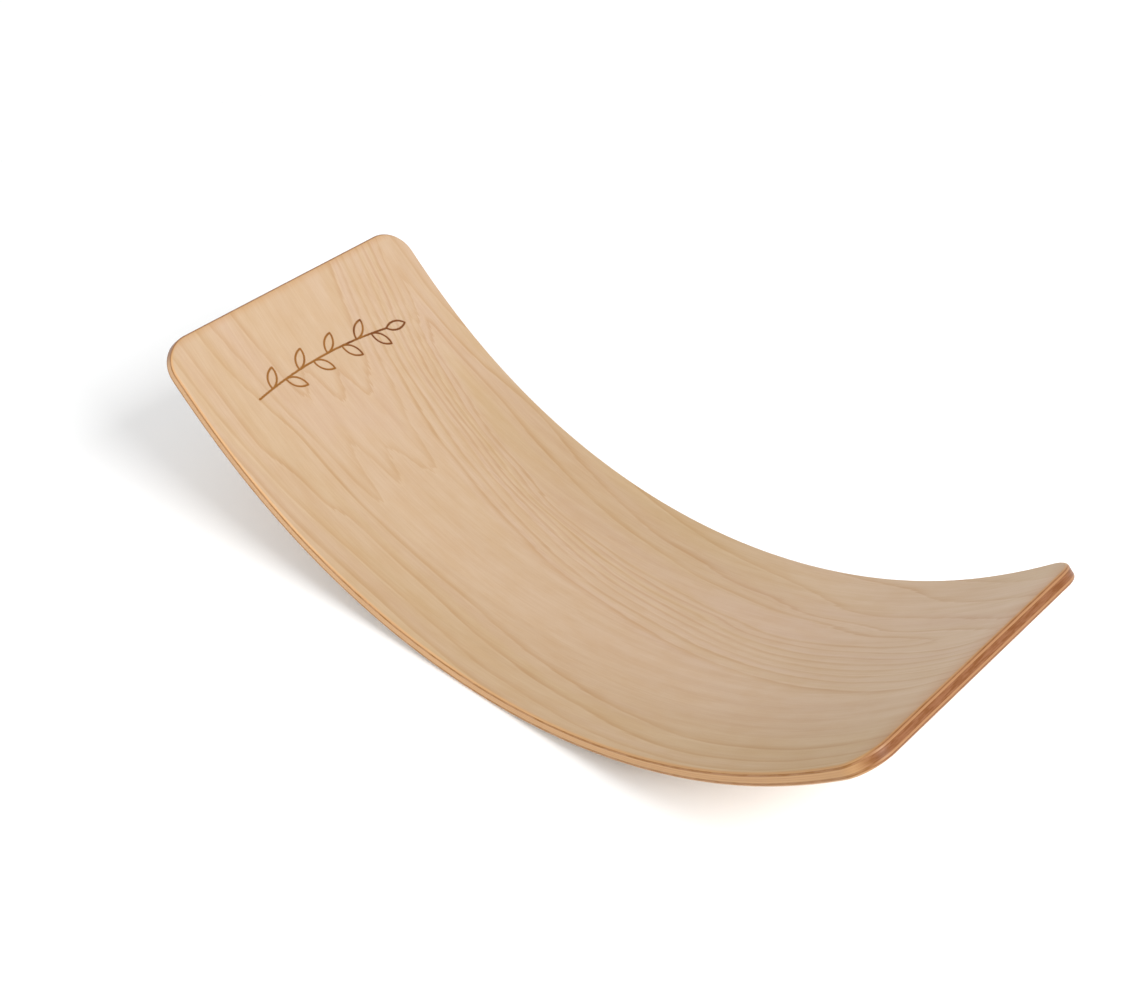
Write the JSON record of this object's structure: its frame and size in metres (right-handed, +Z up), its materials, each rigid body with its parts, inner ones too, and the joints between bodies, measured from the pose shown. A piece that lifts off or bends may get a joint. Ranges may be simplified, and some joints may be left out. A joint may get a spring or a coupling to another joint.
{
  "type": "balance board",
  "caption": "Curved rocker balance board bent from glued beech veneers, with rounded corners, a rounded rim and an engraved leaf sprig near one end.",
  "frame": {"origin": "on the floor under the middle of the board, where its convex side touches", "axes": "+X along the board towards its plain end, +Y across it, +Z up out of the concave side; the engraved sprig is near the -X end"},
  "size_m": [0.783, 0.3, 0.179],
  "materials": {
    "face_grain": "clear satin lacquer over long grain",
    "cross_grain": "clear satin lacquer over sanded cross grain",
    "core_grain": "clear satin lacquer over sanded long grain"
  },
  "bodies": {
    "root": {"face_veneer": "face_grain", "upper_cross_veneer": "cross_grain", "upper_core_veneer": "core_grain", "middle_core_veneer": "core_grain", "lower_core_veneer": "core_grain", "lower_cross_veneer": "cross_grain", "back_veneer": "face_grain"}
  },
  "joints": []
}
